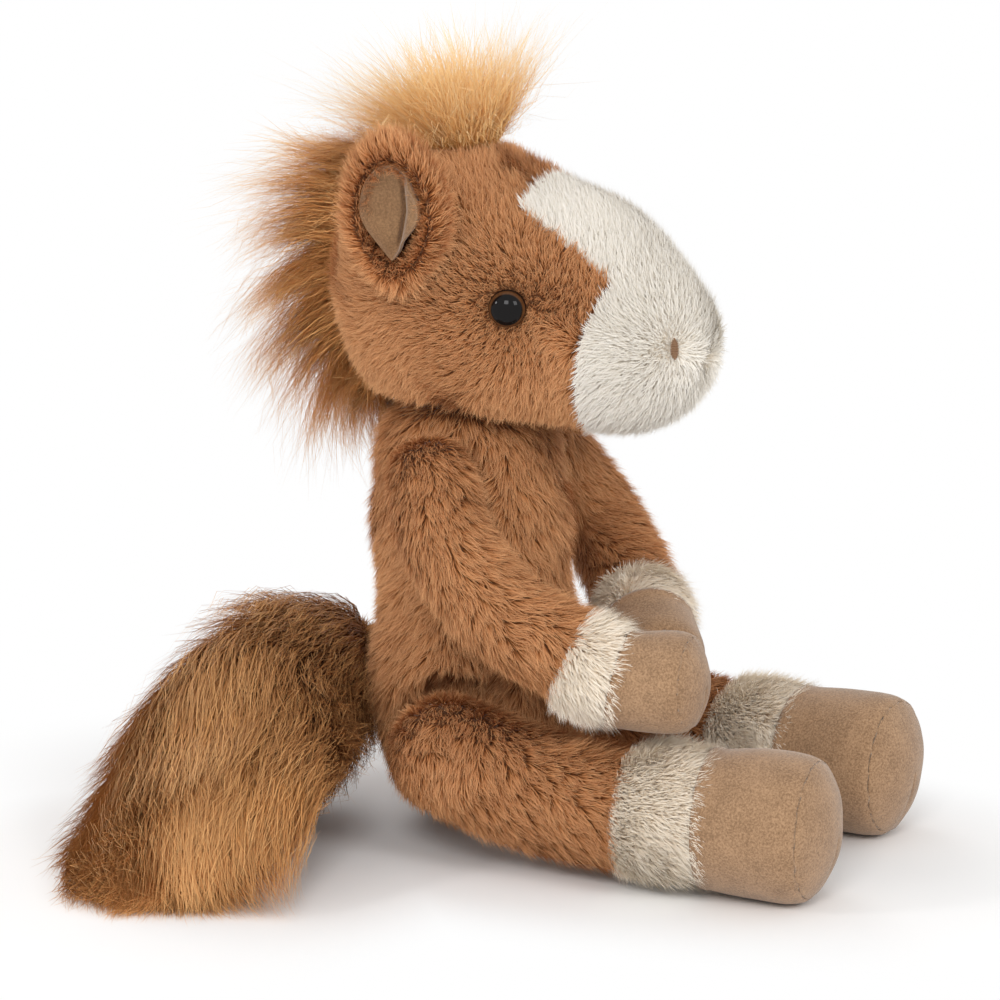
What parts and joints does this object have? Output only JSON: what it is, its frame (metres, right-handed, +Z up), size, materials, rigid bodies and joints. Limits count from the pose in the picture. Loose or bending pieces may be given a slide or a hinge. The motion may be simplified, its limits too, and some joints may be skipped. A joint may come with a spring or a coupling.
{
  "type": "plush horse",
  "caption": "Floppy plush horse, seated with its legs out in front, with a pale muzzle and blaze, long-pile mane, forelock and tail, pale cuffs and velour hooves.",
  "frame": {"origin": "middle of the small flat under its seat, which rests on the floor", "axes": "+Z up; the horse looks along -Y and its right side is at -X"},
  "size_m": [0.2165, 0.2517, 0.2754],
  "materials": {
    "brown_plush": "brushed plush",
    "cream_plush": "brushed plush",
    "tan_velour": "short velour",
    "ear_velour": "short velour",
    "long_pile": "long combed pile",
    "stuffing": "loose fibre",
    "black_plastic": "polished",
    "white_plastic": "moulded",
    "tan_thread": "stitched"
  },
  "bodies": {
    "torso": {"torso_back_left": "brown_plush", "torso_back_right": "brown_plush", "torso_belly_panel": "brown_plush", "torso_stuffing": "stuffing"},
    "neck": {"neck_roll": "stuffing"},
    "head": {"eye_left": "black_plastic", "eye_left_washer": "white_plastic", "eye_right": "black_plastic", "eye_right_washer": "white_plastic", "forelock": "long_pile", "head_blaze_muzzle": "cream_plush", "head_side_left": "brown_plush", "head_side_right": "brown_plush", "head_stuffing": "stuffing", "mane": "long_pile", "nostril_left": "tan_thread", "nostril_right": "tan_thread"},
    "ear_right": {"ear_right_lining": "ear_velour", "ear_right_outer": "brown_plush"},
    "ear_left": {"ear_left_lining": "ear_velour", "ear_left_outer": "brown_plush"},
    "arm_right": {"arm_right_cuff": "cream_plush", "arm_right_hoof": "tan_velour", "arm_right_sole": "tan_velour", "arm_right_stuffing": "stuffing", "arm_right_upper": "brown_plush"},
    "arm_left": {"arm_left_cuff": "cream_plush", "arm_left_hoof": "tan_velour", "arm_left_sole": "tan_velour", "arm_left_stuffing": "stuffing", "arm_left_upper": "brown_plush"},
    "leg_right": {"leg_right_cuff": "cream_plush", "leg_right_hoof": "tan_velour", "leg_right_sole": "tan_velour", "leg_right_stuffing": "stuffing", "leg_right_thigh": "brown_plush"},
    "leg_left": {"leg_left_cuff": "cream_plush", "leg_left_hoof": "tan_velour", "leg_left_sole": "tan_velour", "leg_left_stuffing": "stuffing", "leg_left_thigh": "brown_plush"},
    "tail": {"tail_core": "brown_plush", "tail_fur": "long_pile"}
  },
  "joints": [
    {"name": "neck_nod", "type": "hinge", "parent": "torso", "child": "neck", "pos_m": [0, 0.004, 0.126], "axis": [1, 0, 0], "range_deg": [-15, 15], "stiffness_Nm_per_rad": 1},
    {"name": "head_turn", "type": "hinge", "parent": "neck", "child": "head", "pos_m": [0, 0.004, 0.126], "axis": [0, 0, 1], "range_deg": [-30, 30], "stiffness_Nm_per_rad": 0.6},
    {"name": "ear_right_fold", "type": "hinge", "parent": "head", "child": "ear_right", "pos_m": [-0.0503, 0.00488, 0.19637], "axis": [0.1736, -0.9846, 0.0182], "range_deg": [-8, 30], "stiffness_Nm_per_rad": 0.02},
    {"name": "ear_left_fold", "type": "hinge", "parent": "head", "child": "ear_left", "pos_m": [0.05021, 0.00802, 0.19533], "axis": [0.1111, 0.6298, -0.7688], "range_deg": [-8, 30], "stiffness_Nm_per_rad": 0.02},
    {"name": "arm_right_swing", "type": "hinge", "parent": "torso", "child": "arm_right", "pos_m": [-0.0407, -0.002, 0.128], "axis": [-0.848, 0, -0.5299], "range_deg": [0, 60]},
    {"name": "arm_left_swing", "type": "hinge", "parent": "torso", "child": "arm_left", "pos_m": [0.0407, -0.002, 0.128], "axis": [-0.848, 0, 0.5299], "range_deg": [0, 60]},
    {"name": "leg_right_swing", "type": "hinge", "parent": "torso", "child": "leg_right", "pos_m": [-0.0459, -0.01, 0.036], "axis": [1, 0, 0], "range_deg": [0, 80]},
    {"name": "leg_left_swing", "type": "hinge", "parent": "torso", "child": "leg_left", "pos_m": [0.0459, -0.01, 0.036], "axis": [1, 0, 0], "range_deg": [0, 80]},
    {"name": "tail_lift", "type": "hinge", "parent": "torso", "child": "tail", "pos_m": [0, 0.04877, 0.052], "axis": [0.3746, 0.9272, 0], "range_deg": [0, 50]}
  ]
}
